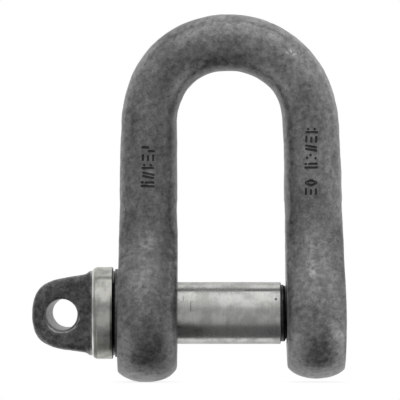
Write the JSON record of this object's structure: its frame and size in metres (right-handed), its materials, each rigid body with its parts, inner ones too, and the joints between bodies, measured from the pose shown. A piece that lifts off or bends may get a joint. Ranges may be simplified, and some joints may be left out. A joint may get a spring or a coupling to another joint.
{
  "type": "dee shackle",
  "caption": "Forged large dee shackle with a screw collar pin: a U-shaped bar ending in two eyes, closed by a threaded pin with a collar and a drilled finger tab.",
  "frame": {"origin": "on the pin's axis, midway between the two eyes' inner faces", "axes": "+X along the pin from the plain eye to the threaded eye; +Z from the pin to the crown, parallel to the legs; Y across the body, through the eye holes' rims"},
  "size_m": [0.0964, 0.041, 0.1126],
  "materials": {
    "forged_steel": "self-coloured forged steel, matt grey scale with fine pitting",
    "machined_steel": "turned collar and shank, satin; the tab is left dark as forged"
  },
  "bodies": {
    "shackle": {"shackle_body": "forged_steel"},
    "pin": {"screw_pin": "machined_steel"}
  },
  "joints": [
    {"name": "pin_withdraw", "type": "slide", "parent": "shackle", "child": "pin", "axis": [-1, 0, 0], "range_m": [-0.0001, 0.11]}
  ]
}
